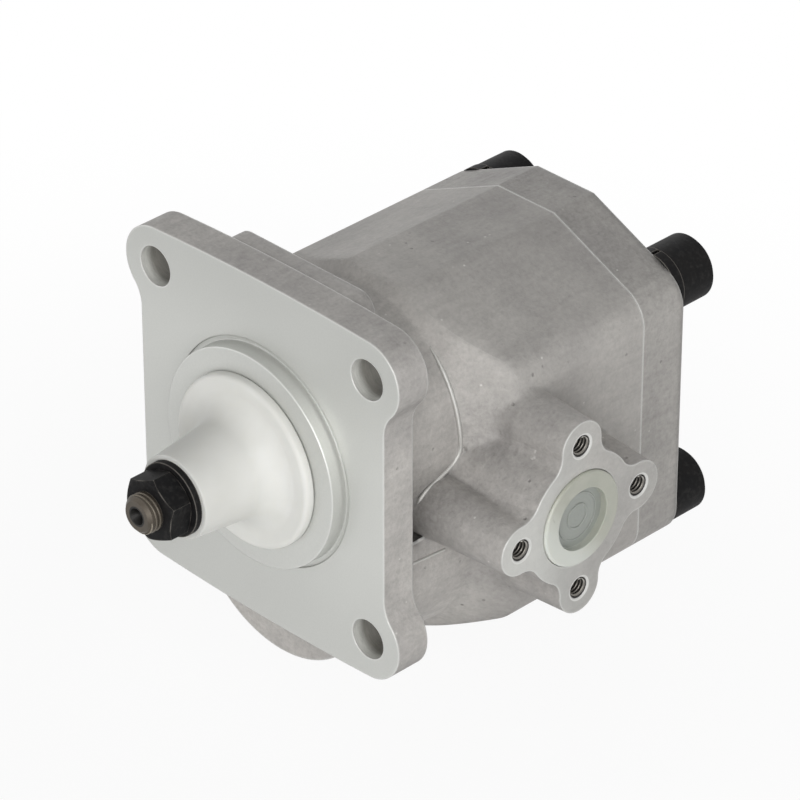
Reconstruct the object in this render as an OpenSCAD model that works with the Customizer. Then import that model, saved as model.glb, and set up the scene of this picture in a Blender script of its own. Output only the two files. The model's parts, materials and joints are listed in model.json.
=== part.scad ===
// Hydraulic gear pump: square mounting flange with a pilot spigot, tapered drive shaft under a
// protective cap, figure-eight gear case with a port boss on each side, and a rear cover held by
// four cap screws. Millimetres. Seen from the flange, +X is right and +Z is up; +Y points to the
// rear cover. The origin lies on the drive shaft's axis, in the plane of the flange's front face.

/* [Mounting flange] */
// Distance between neighbouring bolt holes
flange_pitch = 76; // [73:0.5:80]
// Diameter of the bolt holes
flange_hole_d = 11; // [9:0.5:12]
// Radius of the rounded ear around a bolt hole
flange_ear_r = 11; // [10:0.5:12.5]
// Thickness of the flange
flange_t = 10; // [8.5:0.5:12]
// Width across the hollowed left and right sides
flange_waist = 87.4; // [85:0.2:90]
// Radius of the hollow between an ear and the side
flange_hollow_r = 10; // [6:0.5:14]
// Bow of the top and bottom edges
flange_bow = 1; // [0.5:0.1:2]
// Diameter of the pilot spigot
pilot_d = 60; // [55:0.5:64]
// Height of the pilot spigot
pilot_h = 4.2; // [3.5:0.1:6]
// Width of the relief groove around the pilot's foot
pilot_relief_w = 1.4; // [0.8:0.1:2]
// Depth of the relief groove around the pilot's foot
pilot_relief_t = 0.6; // [0.3:0.1:1]
// Width of the thickened pad behind the top edge
pad_w = 49; // [40:1:60]
// Thickness of the pad behind the flange
pad_t = 6; // [3:0.5:8]
// Corner radius of the pad
pad_corner_r = 5; // [2:0.5:8]

/* [Gears] */
// Number of teeth on each gear
tooth_count = 12; // [11:1:13]
// Module of the teeth
tooth_module = 2.5; // [2.4:0.05:2.6]
// Pressure angle of the teeth
pressure_angle = 25; // [24:0.5:27]
// Thickness taken off each tooth for backlash
backlash = 0.15; // [0.1:0.01:0.25]
// Width of both gears
gear_w = 30; // [24:0.5:32]

/* [Gear case] */
// Width of the case and of the cover
case_w = 84.6; // [81:0.2:89]
// Height of the case and of the cover
case_h = 102.8; // [100:0.2:108]
// Drop of the case's middle below the middle of the two gears
case_drop = 1.2; // [0:0.1:2]
// Width of the flat at the top and at the bottom
case_flat_w = 20; // [14:0.5:26]
// Slope of the shoulders beside the flat
case_slope = 24.4; // [20:0.2:27]
// Radius of the four outer corners
case_corner_r = 10; // [7:0.5:12]
// Plane of the joint between case and cover
joint_y = 94; // [92:0.5:100]
// Diameter of the round neck about the drive shaft
neck_d = 66; // [62:0.5:70]
// Rear end of the round neck
neck_end = 37; // [34:0.5:40]
// Diameter of the lobe about the idler, at its front face
lobe_d = 64.4; // [60:0.4:68]
// Draft angle of the lobe
lobe_draft = 5.4; // [3:0.2:8]
// Front face of the lobe, behind the flange's own face
lobe_front = 5.3; // [3:0.1:8]
// Rear end of the lobe
lobe_end = 39; // [37.5:0.5:42]
// Rise of the cast shoulder from neck to case
shoulder_angle = 44; // [38:1:50]
// Width of the slot between neck and lobe
slot_w = 6; // [4:0.5:8]
// Distance from the middle plane to the inner side of that slot
slot_in = 22; // [21:0.5:23]
// Height of the slot's floor above the idler's axis
slot_rise = 6.5; // [5:0.5:8]

/* [Cover and its screws] */
// Thickness of the rear cover
cover_t = 14.8; // [12:0.2:18]
// Distance of the screws from the sides of the case
screw_inset_x = 11.6; // [10.8:0.2:13]
// Height of the cover's sloped edge above a screw's axis
screw_inset_z = 9.4; // [8.8:0.1:11]
// Thread diameter of the cover screws
screw_d = 12; // [10:0.5:12]
// Length of the cover screws under the head
screw_l = 40; // [32:1:44]
// Diameter of the screw heads
screw_head_d = 18; // [16:0.5:20]
// Height of the screw heads
screw_head_h = 12; // [9:0.5:14]
// Width across flats of the hexagon sockets
screw_socket_af = 10; // [7:0.5:11]
// Depth of the hexagon sockets
screw_socket_t = 6; // [4:0.5:7]
// Thickness of the spring washers
spring_washer_t = 3; // [2:0.1:3.5]
// Outer diameter of the spring washers
spring_washer_d = 18.4; // [17:0.2:20]
// Split in the spring washers
spring_washer_split = 1.2; // [0.6:0.1:2]
// Diameter of the dowel pins
dowel_d = 6; // [5:0.5:8]
// Length of the dowel pins
dowel_l = 16; // [12:1:20]
// Distance between the dowel pins
dowel_pitch = 60; // [56:1:64]
// Width of the cover seal
cover_seal_w = 2.6; // [2:0.1:3]
// Thickness of the cover seal
cover_seal_t = 1.9; // [1.4:0.1:2.5]
// Land between the gear bores and the cover seal
cover_seal_land = 2; // [1.5:0.1:3]

/* [Ports] */
// Distance from the middle plane to a port face
port_face = 61; // [58:0.5:66]
// Distance of the port axis behind the flange face
port_y = 52; // [50.5:0.5:54]
// Bolt circle of the port screws
port_pcd = 42.4; // [41:0.2:46]
// Radius of the ears around the port screw holes
port_ear_r = 7; // [6:0.2:8]
// Radius of the round core of the port boss
port_core_r = 18.4; // [17:0.2:19]
// Radius of the hollows between core and ears
port_hollow_r = 6; // [5:0.5:9]
// Draft angle of the port boss
port_draft = 3.5; // [1:0.5:5]
// Tap drill diameter of the port screw holes
port_tap_d = 5; // [4:0.1:5.5]
// Depth of the port screw holes
port_tap_depth = 14; // [10:0.5:18]
// Diameter of the countersinks on the port screw holes
port_sink_d = 6.6; // [6:0.2:7.6]
// Diameter of the passage to the gears
port_bore_d = 16; // [12:0.5:18]
// Diameter of the counterbore in the port face
port_cbore_d = 26.8; // [24:0.2:28]
// Depth of the counterbore in the port face
port_cbore_t = 3; // [2:0.2:4]

/* [Transport plugs] */
// Height of the plug's rim above the port face
plug_proud = 0.8; // [0.4:0.1:2]
// Length of the plug's stem in the passage
plug_stem_l = 10; // [6:0.5:14]
// Wall of the hollow stem
plug_wall = 1.6; // [1.2:0.1:2.4]
// Diameter of the recess in the plug's face
plug_recess_d = 17.4; // [12:0.2:20]
// Depth of the recess in the plug's face
plug_recess_t = 2; // [1:0.1:2.6]
// Rounding of the plug's rim
plug_round = 0.7; // [0.3:0.1:1]

/* [Drive shaft end] */
// Diameter of the shaft journals
journal_d = 18; // [16:0.5:19]
// Start of the taper in front of the flange face
taper_start = 8; // [7:0.5:9]
// Length of the taper
taper_l = 19.5; // [18:0.5:24]
// Loss of diameter for each millimetre of taper
taper_rate = 0.125; // [0.08:0.005:0.15]
// Thread diameter of the shaft end
stud_d = 10; // [8:0.5:11]
// Length of the threaded end
stud_l = 14.4; // [12.5:0.1:17]
// Chamfer at the tip of the threaded end
stud_chamfer = 0.9; // [0.4:0.1:1.2]
// Diameter of the centre hole in the shaft end
centre_hole_d = 4.6; // [2:0.1:5]
// Width of the woodruff key
key_w = 4; // [3:0.5:5]
// Diameter of the woodruff key's round side
key_d = 10; // [8:0.5:11]
// Height of the woodruff key
key_h = 4; // [3:0.1:4.4]
// Height of the key above the taper
key_proud = 1.3; // [0.8:0.1:1.5]
// Distance of the key's middle from the start of the taper
key_from_taper = 9; // [7:0.5:11]

/* [Protective cap, washer and nut] */
// Diameter of the cap's disc
cap_disc_d = 47.4; // [42:0.2:54]
// Thickness of the cap's disc
cap_disc_t = 2.6; // [2:0.1:4]
// Rounding of the disc's edge
cap_edge_r = 1.2; // [0.5:0.1:1.8]
// Diameter of the cap's cone where it leaves the disc
cap_root_d = 27.2; // [26:0.2:30]
// Diameter of the cap's cone at its tip
cap_tip_d = 22.6; // [22:0.2:25]
// Radius of the flare between disc and cone
cap_flare_r = 7; // [4:0.5:8]
// Wall of the cap
cap_wall = 1.8; // [1.2:0.1:2]
// Outer diameter of the plain washer
washer_d = 20; // [19:0.5:22]
// Thickness of the plain washer
washer_t = 1.8; // [1.2:0.1:2.5]
// Width across flats of the nut
nut_af = 16; // [15:0.5:18]
// Height of the nut
nut_h = 6.8; // [5:0.2:8]
// Turn of the nut on the shaft
nut_turn = 38; // [0:1:59]

/* [Bearings and seals] */
// Wall of the plain bushes
bush_wall = 1; // [0.8:0.1:1.5]
// Length of the plain bushes
bush_l = 21; // [16:0.5:22]
// Inner wall between a bearing block's face and its bush
bush_inset = 0.8; // [0.5:0.1:2]
// Rim between a block seal and the edge of its block
block_seal_land = 2; // [1.8:0.1:2.4]
// Width of the block seals
block_seal_w = 2; // [1.5:0.1:2.2]
// Thickness of the block seals
block_seal_t = 1.9; // [1.4:0.1:2.4]
// Thickness of the backup rings behind the block seals
backup_t = 0.8; // [0.5:0.1:1.2]
// Land between the relief pockets on the gear side of the blocks
relief_land = 8; // [6:0.5:12]
// Height of the relief pockets
relief_h = 5; // [3:0.5:7]
// Depth of the relief pockets
relief_t = 2; // [1:0.1:3]
// Front end of the gear bores behind the flange's face
bore_front = 10.5; // [10:0.1:12]
// Wall between the shaft seal and the gear bores
front_wall = 4.9; // [4:0.1:6]
// Outer diameter of the shaft seal
seal_d = 32; // [30:0.5:36]
// Width of the shaft seal
seal_w = 7; // [6:0.5:7.5]
// Thickness of the snap ring
snap_t = 1.2; // [1:0.1:1.5]
// Depth of the snap ring's groove
snap_depth = 1; // [0.6:0.1:1.4]
// Radial width of the snap ring
snap_w = 2.8; // [2:0.1:3.5]
// Gap of the snap ring
snap_gap = 8; // [4:0.5:12]
// Wire diameter of the garter spring
garter_d = 1.2; // [0.8:0.1:1.4]

/* [Fits] */
// Radial room of a journal in its bush
running_fit = 0.05; // [0.03:0.01:0.08]
// Room of a fixed piece in its seat
seat_fit = 0.03; // [0.02:0.01:0.05]
// Radial room of the tooth tips in the gear bores
tip_fit = 0.15; // [0.1:0.01:0.25]
// End room of the gears between the bearing blocks
side_fit = 0.1; // [0.05:0.01:0.2]
// Room between the cap's disc and the pilot's face
cap_fit = 0.3; // [0.2:0.05:0.6]
// Radial room of a screw in a clearance hole
clear_fit = 0.7; // [0.4:0.1:0.9]
// Radial room of a plug in its port
plug_fit = 0.15; // [0.1:0.05:0.3]

/* [Hidden] */
$fn = 96;
cast_grey = [0.60, 0.59, 0.57];
steel = [0.62, 0.61, 0.59];
black_oxide = [0.14, 0.14, 0.145];
white_plastic = [0.88, 0.88, 0.86];
milky_plastic = [0.80, 0.83, 0.78];
bronze = [0.62, 0.48, 0.30];
rubber_black = [0.08, 0.08, 0.08];
soft_alloy = [0.72, 0.70, 0.66];
// Overlap that makes joined shapes one solid, and overrun of cuts past a face
weld = 1;
// Overlap of a rounding into the flats that it joins
blend = 0.02;

// Gear geometry
pitch_r = tooth_count*tooth_module/2;
tip_r = pitch_r + tooth_module;
root_r = pitch_r - 1.2*tooth_module;
base_r = pitch_r*cos(pressure_angle);
centre_distance = 2*pitch_r;
idler_z = -centre_distance;
middle_z = idler_z/2;
bore_r = tip_r + tip_fit;
gear_front = port_y - gear_w/2;
gear_rear = port_y + gear_w/2;
flank_steps = 6;

// Stations along the shaft
pilot_face = -pilot_h;
seal_rear = bore_front - front_wall;
seal_front = seal_rear - seal_w;
journal_front = bore_front + weld;
journal_rear = joint_y - weld;
cover_rear = joint_y + cover_t;
head_seat = cover_rear + spring_washer_t;
head_end = head_seat + screw_head_h;
screw_tip = head_seat - screw_l;
taper_end = -taper_start - taper_l;
cap_back = pilot_face - cap_fit;
cap_disc_front = cap_back - cap_disc_t;
cap_tip = taper_end - cap_wall;
washer_front = cap_tip - washer_t;
nut_front = washer_front - nut_h;
stud_end = taper_end - stud_l;

// Shaft radii
journal_r = journal_d/2;
stud_r = stud_d/2;
taper_small_r = journal_r - taper_l*taper_rate/2;
key_y = -taper_start - key_from_taper;
key_top = journal_r - key_from_taper*taper_rate/2 + key_proud;
key_axis_z = key_top - key_h + key_d/2;

// Bearings and shaft seal
bush_outer_r = journal_r + running_fit + bush_wall;
front_block = [bore_front + side_fit, gear_front - side_fit];
rear_block = [gear_rear + side_fit, joint_y - side_fit];
front_bush_y = front_block[1] - bush_inset - bush_l;
rear_bush_y = rear_block[0] + bush_inset;
lip_y = seal_rear - seal_w/3;
garter_r = journal_r + running_fit + garter_d*2;

// Outline of case and cover
case_mid = middle_z - case_drop;
screw_x = case_w/2 - screw_inset_x;
screw_z = case_h/2 - (screw_x - case_flat_w/2)*tan(case_slope) - screw_inset_z;
corner_x = case_w/2 - case_corner_r;
corner_z = case_h/2 - (corner_x - case_flat_w/2)*tan(case_slope) - case_corner_r/cos(case_slope);
neck_r = neck_d/2;
lobe_r = lobe_d/2;
lobe_rear_r = lobe_r + (lobe_end - lobe_front)*tan(lobe_draft);

// Flange outline
ear = flange_pitch/2;
flange_edge = ear + flange_ear_r;
flange_top = flange_edge + flange_bow;
bow_r = (ear*ear + flange_bow*flange_bow)/(2*flange_bow);
side = flange_waist/2;
hollow_dz = sqrt(pow(flange_ear_r + flange_hollow_r, 2) - pow(side + flange_hollow_r - ear, 2));

// Slab from y0 to y1 of an outline drawn in X and Z
module slab(y0, y1) {
    translate([0, y1, 0]) rotate([90, 0, 0]) linear_extrude(y1 - y0) children();
}

// Round bar along Y
module bar(r, y0, y1, z = 0, x = 0) {
    translate([x, y0, z]) rotate([-90, 0, 0]) cylinder(r = r, h = y1 - y0);
}

// Round bar along X at the height of the ports
module port_bar(r, x0, x1, dy = 0, dz = 0) {
    translate([x0, port_y + dy, middle_z + dz]) rotate([0, 90, 0]) cylinder(r = r, h = x1 - x0);
}

// Turned shape about an axis along Y; its profile gives radius and Y
module turned(z = 0, x = 0) {
    translate([x, 0, z]) rotate([-90, 0, 0]) rotate_extrude() children();
}

// Turned shape about the port axis; its profile gives radius and X
module port_turned() {
    translate([0, port_y, middle_z]) rotate([0, 90, 0]) rotate_extrude() children();
}

// Copies on the right and on the left of the middle plane
module both_sides() {
    children();
    mirror([1, 0, 0]) children();
}

// Copies of an outline's corner in all four corners
module four_corners() {
    both_sides() {
        children();
        mirror([0, 1, 0]) children();
    }
}

// Places of the four cover screws
module at_screws() {
    for (x = [-1, 1], z = [-1, 1])
        translate([x*screw_x, 0, case_mid + z*screw_z]) children();
}

// Two equal circles on the gear axes
module eight(r) {
    circle(r);
    translate([0, idler_z]) circle(r);
}

// Oblong around both gear axes
module oblong(r) {
    eight(r);
    translate([-r, idler_z]) square([2*r, centre_distance]);
}

module flange_outline() {
    hollow_x = side + flange_hollow_r;
    hollow_z = ear - hollow_dz;
    share = flange_ear_r/(flange_ear_r + flange_hollow_r);
    square([flange_waist, flange_pitch], center = true);
    intersection() {
        square([flange_pitch, 2*flange_top], center = true);
        translate([0, flange_top - bow_r]) circle(bow_r, $fn = 360);
        translate([0, bow_r - flange_top]) circle(bow_r, $fn = 360);
    }
    four_corners() {
        translate([ear, ear]) circle(flange_ear_r);
        difference() {
            polygon([[ear, hollow_z], [side, hollow_z],
                [ear + share*(hollow_x - ear), ear - share*hollow_dz], [ear, ear]]);
            translate([hollow_x, hollow_z]) circle(flange_hollow_r + blend);
        }
    }
}

module pad_outline() {
    foot = neck_r/2;
    inner = pad_w/2 - pad_corner_r;
    translate([-pad_w/2, foot]) square([pad_w, flange_edge - pad_corner_r - foot]);
    translate([-inner, foot]) square([2*inner, flange_edge - foot]);
    for (x = [-inner, inner]) translate([x, flange_edge - pad_corner_r]) circle(pad_corner_r);
}

// Block with the outline of case and cover, round at its four corners
module case_block(y0, y1) {
    half_flat = case_flat_w/2;
    tangent_x = corner_x + case_corner_r*sin(case_slope);
    tangent_z = corner_z + case_corner_r*cos(case_slope);
    slab(y0, y1) translate([0, case_mid])
        polygon([[half_flat, case_h/2], [tangent_x, tangent_z], [case_w/2, corner_z],
            [case_w/2, -corner_z], [tangent_x, -tangent_z], [half_flat, -case_h/2],
            [-half_flat, -case_h/2], [-tangent_x, -tangent_z], [-case_w/2, -corner_z],
            [-case_w/2, corner_z], [-tangent_x, tangent_z], [-half_flat, case_h/2]]);
    for (x = [-corner_x, corner_x], z = [-corner_z, corner_z])
        bar(case_corner_r + blend, y0, y1, case_mid + z, x);
}

// Shape turned from radius r0 at y0 to r1 at y1 that opens behind y1 with the cast shoulder
module throat(z, r0, y0, r1, y1) {
    turned(z) polygon([[0, y0], [r0, y0], [r1, y1], [case_h, y1 + (case_h - r1)*tan(shoulder_angle)],
        [case_h, y1 + 2*case_h], [0, y1 + 2*case_h]]);
}

// Drafted lobe about the idler, hollowed next to the neck on both sides
module lobe() {
    difference() {
        throat(idler_z, lobe_r, lobe_front, lobe_rear_r, lobe_end);
        intersection() {
            bar(neck_r + slot_w, lobe_front - weld, lobe_end);
            both_sides() translate([slot_in, lobe_front - 2*weld, idler_z + slot_rise])
                cube([case_w, lobe_end, centre_distance]);
        }
    }
}

// Round bar that widens towards the body by the port boss's draft
module drafted(r, depth) {
    cylinder(r1 = r + depth*tan(port_draft), r2 = r, h = depth);
}

// Port boss: round core with four ears and filleted hollows between them
module port_boss() {
    ear_at = port_pcd/2;
    depth = port_face - slot_in + weld;
    to_core = port_core_r + port_hollow_r;
    to_ear = port_ear_r + port_hollow_r;
    hollow_up = (to_core*to_core - to_ear*to_ear + ear_at*ear_at)/(2*ear_at);
    hollow = [sqrt(to_core*to_core - hollow_up*hollow_up), hollow_up];
    inner = hollow*port_core_r/to_core/2;
    translate([port_face - depth, port_y, middle_z]) rotate([90, 0, 90]) {
        drafted(port_core_r, depth);
        for (turn = [0:90:270]) rotate(turn) {
            translate([0, ear_at, 0]) drafted(port_ear_r, depth);
            difference() {
                linear_extrude(depth) polygon([inner, hollow, [0, ear_at], [-hollow[0], hollow[1]],
                    [-inner[0], inner[1]]]);
                both_sides() translate([hollow[0], hollow[1], -weld])
                    cylinder(r = port_hollow_r + blend, h = depth + 2*weld);
            }
        }
    }
}

// Angle, in degrees, between a tooth's centre line and its flank at radius r
function half_tooth(r) =
    let (a = r > base_r ? acos(base_r/r) : 0,
        at_pitch = (180/PI)*(PI*tooth_module/2 - backlash)/(2*pitch_r),
        unrolled = (180/PI)*(tan(pressure_angle) - tan(a)) - pressure_angle + a)
    at_pitch + unrolled;

function polar(r, angle) = [r*cos(angle), r*sin(angle)];

// Involute gear outline; a tooth lies on the angle called turn
module gear_outline(turn) {
    radii = concat([root_r - weld], [for (i = [0:flank_steps]) base_r + (tip_r - base_r)*i/flank_steps]);
    last = len(radii) - 1;
    circle(root_r);
    for (tooth = [0:tooth_count - 1]) rotate(turn + tooth*360/tooth_count)
        polygon(concat([for (r = radii) polar(r, -half_tooth(r))],
            [for (i = [0:last]) polar(radii[last - i], half_tooth(radii[last - i]))]));
}

module gear_bores() {
    bar(bore_r, bore_front, joint_y + weld);
    bar(bore_r, bore_front, joint_y + weld, idler_z);
}

module port_holes() {
    port_bar(port_bore_d/2, 0, port_face);
    port_bar(port_cbore_d/2, port_face - port_cbore_t, port_face + weld);
    for (turn = [0:90:270]) {
        dy = port_pcd/2*sin(turn);
        dz = port_pcd/2*cos(turn);
        port_bar(port_tap_d/2, port_face - port_tap_depth, port_face + weld, dy, dz);
        port_sink(dy, dz);
    }
}

// Countersink at the mouth of a port screw hole
module port_sink(dy, dz) {
    translate([port_face - weld, port_y + dy, middle_z + dz]) rotate([0, 90, 0])
        cylinder(r1 = port_sink_d/2 - weld, r2 = port_sink_d/2 + weld, h = 2*weld);
}

module dowel_holes(y0, y1) {
    for (x = [-1, 1]) bar(dowel_d/2 + seat_fit, y0, y1, middle_z, x*dowel_pitch/2);
}

module pump_body() color(cast_grey) {
    difference() {
        union() {
            slab(0, flange_t) flange_outline();
            slab(flange_t - weld, flange_t + pad_t) intersection() {
                flange_outline();
                pad_outline();
            }
            bar(pilot_d/2, pilot_face, weld);
            intersection() {
                case_block(lobe_front - weld, joint_y);
                union() {
                    throat(0, neck_r, flange_t - weld, neck_r, neck_end);
                    lobe();
                }
            }
            both_sides() port_boss();
        }
        turned() translate([pilot_d/2, -weld]) square([pilot_relief_w, pilot_relief_t + weld]);
        for (x = [-ear, ear], z = [-ear, ear]) bar(flange_hole_d/2, -weld, flange_t + weld, z, x);
        gear_bores();
        bar(journal_r + clear_fit, pilot_face, bore_front + weld);
        bar(seal_d/2 + seat_fit, pilot_face - weld, seal_rear);
        bar(seal_d/2 + snap_depth, seal_front - snap_t - seat_fit, seal_front);
        both_sides() port_holes();
        at_screws() bar(screw_d/2 + running_fit, screw_tip - 2*weld, joint_y + weld);
        dowel_holes(joint_y - dowel_l/2, joint_y + weld);
    }
}

module rear_cover() color(cast_grey) {
    difference() {
        case_block(joint_y, cover_rear);
        at_screws() bar(screw_d/2 + clear_fit, joint_y - weld, cover_rear + weld);
        dowel_holes(joint_y - weld, joint_y + dowel_l/2);
        slab(joint_y - weld, joint_y + cover_seal_t) cover_seal_outline(seat_fit);
    }
}

module cover_seal_outline(room) {
    inner = bore_r + cover_seal_land;
    difference() {
        oblong(inner + cover_seal_w + room);
        oblong(inner - room);
    }
}

module cover_seal() color(rubber_black) {
    slab(joint_y, joint_y + cover_seal_t) cover_seal_outline(0);
}

// Socket-head screw: turned shank and head with a hexagon socket
module cover_screws() color(black_oxide) {
    edge = screw_head_d/20;
    r = screw_head_d/2;
    at_screws() difference() {
        union() {
            bar(screw_d/2, screw_tip, head_seat + weld);
            turned() polygon([[0, head_seat], [r, head_seat], [r, head_end - edge],
                [r - edge, head_end], [0, head_end]]);
        }
        translate([0, head_end - screw_socket_t, 0]) rotate([-90, 0, 0])
            cylinder(r = screw_socket_af/2/cos(30), h = screw_socket_t + weld, $fn = 6);
    }
}

module cover_washers() color(black_oxide) {
    at_screws() difference() {
        bar(spring_washer_d/2, cover_rear, head_seat);
        bar(screw_d/2 + seat_fit, cover_rear - weld, head_seat + weld);
        translate([-spring_washer_split/2, cover_rear - weld, 0])
            cube([spring_washer_split, spring_washer_t + 2*weld, spring_washer_d]);
    }
}

module dowel_pins() color(steel) {
    half_l = dowel_l/2 - seat_fit;
    for (x = [-1, 1]) bar(dowel_d/2, joint_y - half_l, joint_y + half_l, middle_z, x*dowel_pitch/2);
}

// Groove of a block seal, or the seal itself when there is no room
module block_seal_outline(room) {
    outer = bore_r - block_seal_land;
    difference() {
        eight(outer + room);
        eight(outer - block_seal_w - room);
    }
}

// Bearing block from y0 to y1 with its gears at gear_side and its seal groove at the other face
module bearing_block(y0, y1, gear_side) {
    front = gear_side == y1;
    groove_t = block_seal_t + backup_t;
    difference() {
        slab(y0, y1) eight(bore_r - seat_fit);
        for (z = [0, idler_z]) {
            bar(journal_r + clear_fit, y0 - weld, y1 + weld, z);
            bar(bush_outer_r + seat_fit, front ? y1 - bush_inset - bush_l : y0 - weld,
                front ? y1 + weld : y0 + bush_inset + bush_l, z);
        }
        slab(front ? y0 - weld : y1 - groove_t, front ? y0 + groove_t : y1 + weld)
            block_seal_outline(seat_fit);
        both_sides()
            translate([relief_land/2, front ? y1 - relief_t : y0 - weld, middle_z - relief_h/2])
                cube([bore_r, relief_t + weld, relief_h]);
    }
}

module front_bearing_block() color(soft_alloy) {
    bearing_block(front_block[0], front_block[1], front_block[1]);
}

module rear_bearing_block() color(soft_alloy) {
    bearing_block(rear_block[0], rear_block[1], rear_block[0]);
}

module bush(y0, z) color(bronze) {
    difference() {
        bar(bush_outer_r, y0, y0 + bush_l, z);
        bar(journal_r + running_fit, y0 - weld, y0 + bush_l + weld, z);
    }
}

module front_drive_bush() bush(front_bush_y, 0);

module front_idler_bush() bush(front_bush_y, idler_z);

module rear_drive_bush() bush(rear_bush_y, 0);

module rear_idler_bush() bush(rear_bush_y, idler_z);

module front_block_seal() color(rubber_black) {
    slab(front_block[0], front_block[0] + block_seal_t) block_seal_outline(0);
}

module rear_block_seal() color(rubber_black) {
    slab(rear_block[1] - block_seal_t, rear_block[1]) block_seal_outline(0);
}

module front_backup_ring() color(white_plastic) {
    slab(front_block[0] + block_seal_t, front_block[0] + block_seal_t + backup_t) block_seal_outline(0);
}

module rear_backup_ring() color(white_plastic) {
    slab(rear_block[1] - block_seal_t - backup_t, rear_block[1] - block_seal_t) block_seal_outline(0);
}

// Lip seal: a stiff outer case with a lip that leans on the journal
module shaft_seal() color(rubber_black) {
    case_r = seal_d/2;
    case_wall = case_r/8;
    web = seal_w/3.5;
    lip_r = journal_r + running_fit;
    lip_back = garter_r - garter_d/2 - seat_fit;
    turned() polygon([[case_r, seal_front], [case_r, seal_rear], [case_r - case_wall, seal_rear],
        [case_r - case_wall, seal_front + web], [lip_back, seal_front + web],
        [lip_back, seal_rear - garter_d], [lip_r, lip_y], [lip_back - garter_d, seal_front]]);
}

module seal_spring() color(steel) {
    turned() translate([garter_r, lip_y]) circle(garter_d/2, $fn = 32);
}

module seal_snap_ring() color(steel) {
    outer = seal_d/2 + snap_depth - seat_fit;
    difference() {
        bar(outer, seal_front - snap_t, seal_front - seat_fit);
        bar(outer - snap_w, seal_front - snap_t - weld, seal_front + weld);
        translate([-snap_gap/2, seal_front - snap_t - weld, -outer - weld])
            cube([snap_gap, snap_t + 2*weld, outer]);
    }
}

// Drive gear and shaft in one piece: journals, taper with keyseat and threaded end
module drive_shaft() color(steel) {
    difference() {
        union() {
            slab(gear_front, gear_rear) gear_outline(-90);
            turned() polygon([[0, stud_end], [stud_r - stud_chamfer, stud_end],
                [stud_r, stud_end + stud_chamfer], [stud_r, taper_end], [taper_small_r, taper_end],
                [journal_r, -taper_start], [journal_r, journal_rear], [0, journal_rear]]);
        }
        key_disc(seat_fit);
        turned() polygon([[0, stud_end - weld], [centre_hole_d/2, stud_end - weld],
            [centre_hole_d/2, stud_end], [0, stud_end + centre_hole_d]]);
    }
}

// Round-bottomed key, or its seat when there is room
module key_disc(room) {
    intersection() {
        translate([-key_w/2 - room, key_y, key_axis_z]) rotate([0, 90, 0])
            cylinder(r = key_d/2 + room, h = key_w + 2*room);
        translate([-key_d/2, key_y - key_d, key_top - 2*key_d]) cube([key_d, 2*key_d, 2*key_d]);
    }
}

module woodruff_key() color(steel) key_disc(0);

// Hollow cap: disc, flare and cone in one turned shape, open towards the flange
module shaft_cap() color(white_plastic) {
    root_r_out = cap_root_d/2;
    tip_r_out = cap_tip_d/2;
    disc_r = cap_disc_d/2;
    lean = atan((root_r_out - tip_r_out)/(cap_disc_front - cap_tip));
    flare_at = root_r_out + cap_flare_r*(1 - sin(lean))/cos(lean);
    flare_y = cap_disc_front - cap_flare_r;
    turned() difference() {
        union() {
            translate([0, cap_disc_front]) square([disc_r - cap_edge_r, cap_disc_t]);
            translate([0, cap_disc_front + cap_edge_r]) square([disc_r, cap_disc_t - cap_edge_r]);
            translate([disc_r - cap_edge_r, cap_disc_front + cap_edge_r]) circle(cap_edge_r);
            difference() {
                polygon([[0, cap_tip], [tip_r_out, cap_tip],
                    [flare_at - cap_flare_r*cos(lean), flare_y + cap_flare_r*sin(lean)],
                    [flare_at, flare_y], [flare_at, cap_disc_front + cap_edge_r],
                    [0, cap_disc_front + cap_edge_r]]);
                translate([flare_at, flare_y]) circle(cap_flare_r + blend);
            }
        }
        polygon([[0, cap_back + weld], [root_r_out - cap_wall, cap_back + weld],
            [root_r_out - cap_wall, cap_disc_front], [tip_r_out - cap_wall, taper_end], [0, taper_end]]);
        translate([0, cap_tip - weld]) square([stud_r + running_fit, cap_wall + 2*weld]);
    }
}

module shaft_washer() color(black_oxide) {
    difference() {
        bar(washer_d/2, washer_front, cap_tip);
        bar(stud_r + running_fit, washer_front - weld, cap_tip + weld);
    }
}

// Hexagon nut with turned chamfers on both ends
module shaft_nut() color(black_oxide) {
    corner_r = nut_af/2/cos(30);
    wide = corner_r + weld;
    drop = (wide - nut_af/2)*tan(30);
    difference() {
        intersection() {
            rotate([0, nut_turn, 0]) translate([0, nut_front, 0]) rotate([-90, 0, 0])
                cylinder(r = corner_r, h = nut_h, $fn = 6);
            turned() polygon([[0, nut_front], [nut_af/2, nut_front], [wide, nut_front + drop],
                [wide, washer_front - drop], [nut_af/2, washer_front], [0, washer_front]]);
        }
        bar(stud_r + running_fit, nut_front - weld, washer_front + weld);
    }
}

module idler_gear() color(steel) {
    translate([0, 0, idler_z]) slab(gear_front, gear_rear) gear_outline(90 + 180/tooth_count);
    bar(journal_r, journal_front, journal_rear, idler_z);
}

// Transport plug: broad rim with a shallow recess and a hollow stem
module plug() color(milky_plastic) {
    rim_r = port_cbore_d/2 - plug_fit;
    stem_r = port_bore_d/2 - plug_fit;
    seat = port_face - port_cbore_t + plug_fit/2;
    front = port_face + plug_proud;
    tip = seat - plug_stem_l;
    port_turned() difference() {
        union() {
            translate([0, seat]) square([rim_r - plug_round, front - seat]);
            translate([0, seat]) square([rim_r, front - plug_round - seat]);
            translate([rim_r - plug_round, front - plug_round]) circle(plug_round, $fn = 32);
            translate([0, tip]) square([stem_r, seat - tip + weld]);
        }
        translate([0, front - plug_recess_t]) square([plug_recess_d/2, plug_recess_t + weld]);
        translate([0, tip - weld]) square([stem_r - plug_wall, plug_stem_l]);
    }
}

module inlet_plug() plug();

module outlet_plug() mirror([1, 0, 0]) plug();

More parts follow.
